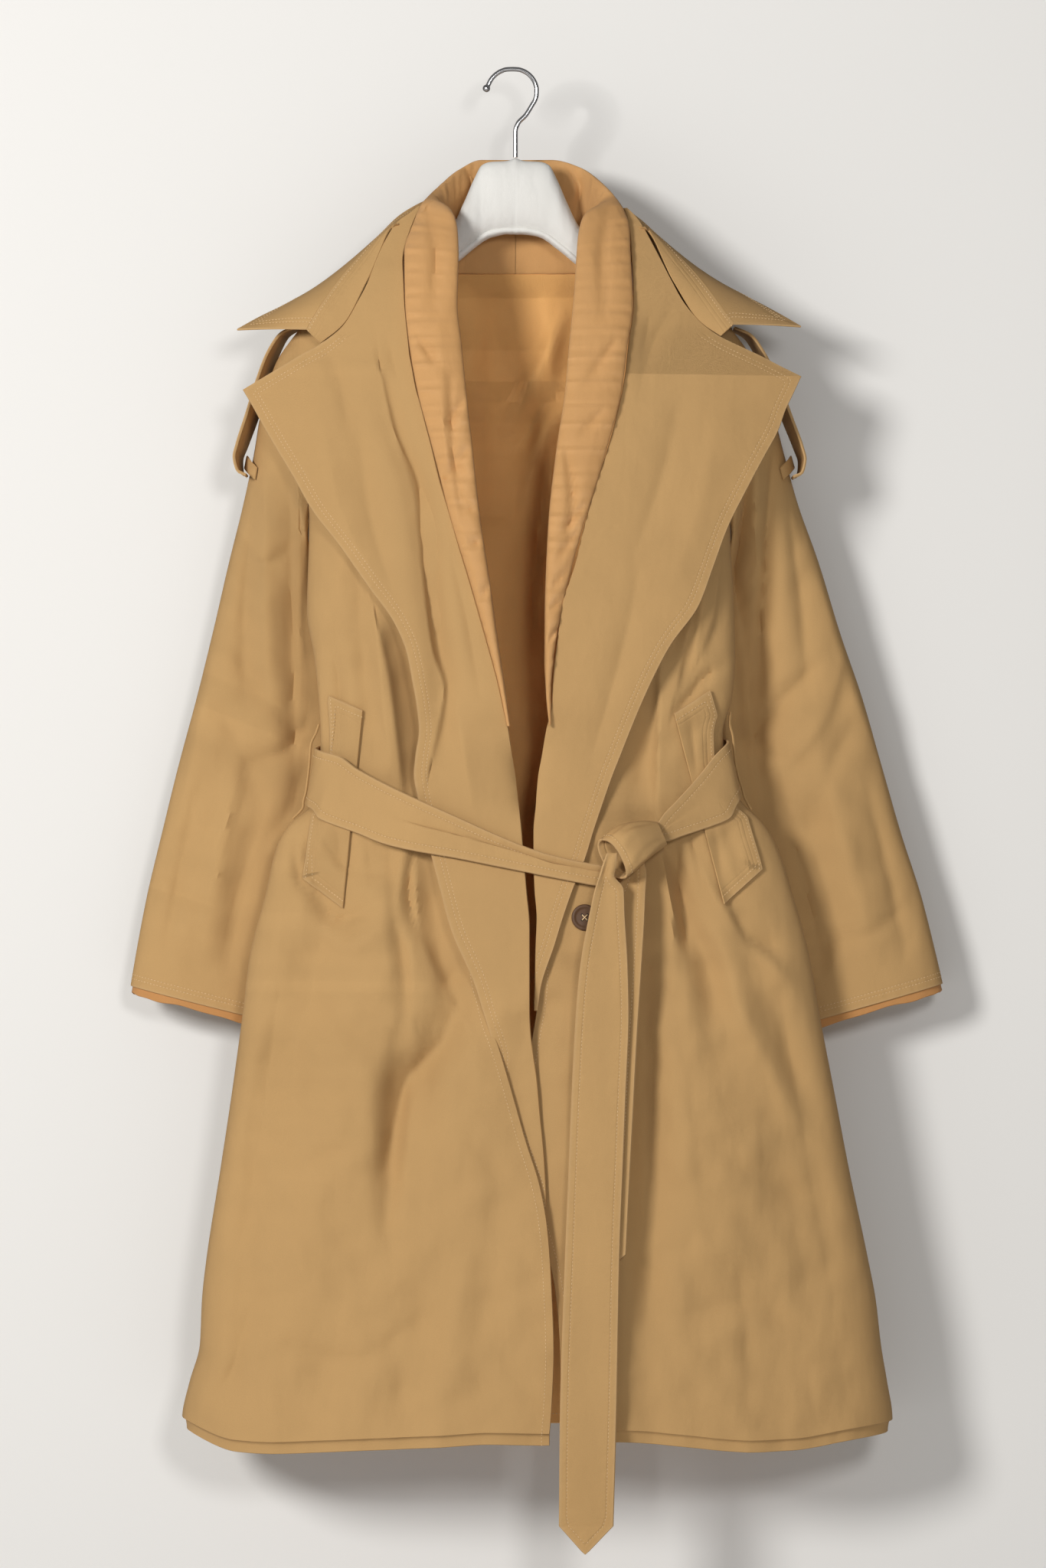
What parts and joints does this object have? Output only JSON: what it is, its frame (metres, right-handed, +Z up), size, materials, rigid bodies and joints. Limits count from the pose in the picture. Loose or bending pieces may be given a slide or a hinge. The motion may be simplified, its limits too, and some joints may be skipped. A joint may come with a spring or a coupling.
{
  "type": "trench coat on a clothes hanger",
  "caption": "Belted trench coat with wide lapels and a padded inner coat, hanging open on a cloth-covered hanger.",
  "frame": {"origin": "inside top of the hanger's hook, where it bears on the rail or peg that it hangs from", "axes": "+Z up; the coat's front faces -Y; the wearer's right side is at -X"},
  "size_m": [0.7866, 0.1909, 1.4163],
  "materials": {
    "khaki": "matt woven cotton",
    "lining": "soft sheen, padded",
    "hanger_cloth": "matt cotton",
    "steel": "polished",
    "horn": "semi-gloss"
  },
  "bodies": {
    "root": {"hanger_hook": "steel", "hanger_body": "hanger_cloth", "front_right": "khaki", "front_left": "khaki", "back_panel": "khaki", "lining_back": "lining", "collar_stand": "khaki", "collar_leaf": "khaki", "lapel_right": "khaki", "lapel_left": "khaki", "lining_collar_right": "lining", "lining_collar_left": "lining", "sleeve_front_right": "khaki", "sleeve_back_right": "khaki", "sleeve_front_left": "khaki", "sleeve_back_left": "khaki", "cuff_lining_right": "lining", "cuff_lining_left": "lining", "epaulette_right": "khaki", "epaulette_left": "khaki", "epaulette_loop_right": "khaki", "epaulette_loop_left": "khaki", "pocket_welt_right": "khaki", "pocket_welt_left": "khaki", "belt_loop_right": "khaki", "belt_loop_left": "khaki", "belt_waist": "khaki", "belt_knot": "khaki", "belt_tail_long": "khaki", "belt_tail_short": "khaki", "button_waist": "horn"}
  },
  "joints": []
}
